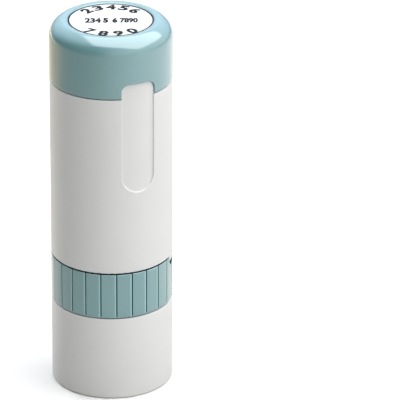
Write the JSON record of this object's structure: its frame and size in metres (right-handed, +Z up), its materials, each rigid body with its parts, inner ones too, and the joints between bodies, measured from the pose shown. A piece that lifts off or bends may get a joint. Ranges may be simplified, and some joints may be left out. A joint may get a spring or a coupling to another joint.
{
  "type": "date stamp",
  "caption": "Round pre-inked date stamp: domed index cap, grip barrel, ribbed date ring and a pull-off dust cover over a die with printing bands.",
  "frame": {"origin": "centre of the dust cover's flat underside", "axes": "+Z up along the stamp's axis; -Y is the front, where the barrel's sunk panel is 26.6 degrees to the right"},
  "size_m": [0.0402, 0.0402, 0.1274],
  "materials": {
    "white_shell": "moulded, satin gloss",
    "teal_shell": "moulded, satin gloss",
    "label_card": "printed card, black figures on white",
    "seal_rubber": "soft, matte",
    "grey_plastic": "moulded, fine grain",
    "dark_plastic": "moulded, fine grain",
    "gear_plastic": "moulded natural nylon",
    "spring_steel": "drawn wire and stamped clip",
    "axle_steel": "turned",
    "screw_steel": "bright zinc",
    "ink_foam": "ink-soaked foam",
    "ink_felt": "ink-soaked felt",
    "die_rubber": "porous, ink-stained",
    "band_rubber": "moulded band with raised figures",
    "wheel_plastic": "moulded, knurled rim",
    "oring_rubber": "smooth"
  },
  "bodies": {
    "cover": {"dust_cover": "white_shell", "cover_seal": "seal_rubber"},
    "cartridge": {"chassis": "dark_plastic", "ring_clip": "spring_steel", "die_mount": "grey_plastic", "ink_pads": "ink_foam", "message_die": "die_rubber", "ink_plugs": "seal_rubber", "band_frame": "dark_plastic", "frame_screws": "screw_steel", "frame_oring": "oring_rubber", "print_bar": "gear_plastic", "month_band": "band_rubber", "tens_band": "band_rubber", "units_band": "band_rubber", "year_band": "band_rubber", "band_felts": "ink_felt", "collar_spring": "spring_steel"},
    "collar": {"die_collar": "grey_plastic"},
    "ring": {"date_ring": "teal_shell", "crown_gear": "gear_plastic", "index_pointer": "white_shell"},
    "axle": {"wheel_axle": "axle_steel", "drive_pinion": "gear_plastic", "units_wheel": "wheel_plastic"},
    "month": {"month_wheel": "wheel_plastic"},
    "tens": {"tens_wheel": "wheel_plastic"},
    "year": {"year_wheel": "wheel_plastic"},
    "barrel": {"barrel": "white_shell", "barrel_bulkhead": "dark_plastic"},
    "cap": {"top_cap": "teal_shell", "index_label": "label_card"}
  },
  "joints": [
    {"name": "cover_release", "type": "slide", "parent": "cover", "child": "cartridge", "axis": [0, 0, 1], "range_m": [0, 0.03]},
    {"name": "collar_press", "type": "slide", "parent": "cartridge", "child": "collar", "axis": [0, 0, 1], "range_m": [0, 0.0046], "stiffness_N_per_m": 400, "springref_m": -0.006, "deforming": ["collar_spring"]},
    {"name": "ring_turn", "type": "hinge", "parent": "cartridge", "child": "ring", "pos_m": [0, 0, 0.037], "axis": [0, 0, 1], "continuous": true},
    {"name": "axle_spin", "type": "hinge", "parent": "cartridge", "child": "axle", "pos_m": [0, 0, 0.0464], "axis": [1, 0, 0], "continuous": true},
    {"name": "month_set", "type": "hinge", "parent": "cartridge", "child": "month", "pos_m": [0, 0, 0.0464], "axis": [1, 0, 0], "continuous": true},
    {"name": "tens_set", "type": "hinge", "parent": "cartridge", "child": "tens", "pos_m": [0, 0, 0.0464], "axis": [1, 0, 0], "continuous": true},
    {"name": "year_set", "type": "hinge", "parent": "cartridge", "child": "year", "pos_m": [0, 0, 0.0464], "axis": [1, 0, 0], "continuous": true},
    {"name": "barrel_lift", "type": "slide", "parent": "cartridge", "child": "barrel", "axis": [0, 0, 1], "range_m": [0, 0.025]},
    {"name": "cap_lift", "type": "slide", "parent": "barrel", "child": "cap", "axis": [0, 0, 1], "range_m": [0, 0.016]}
  ],
  "couplings": [
    {"joint": "axle_spin", "follows": "ring_turn", "ratio": 4}
  ]
}
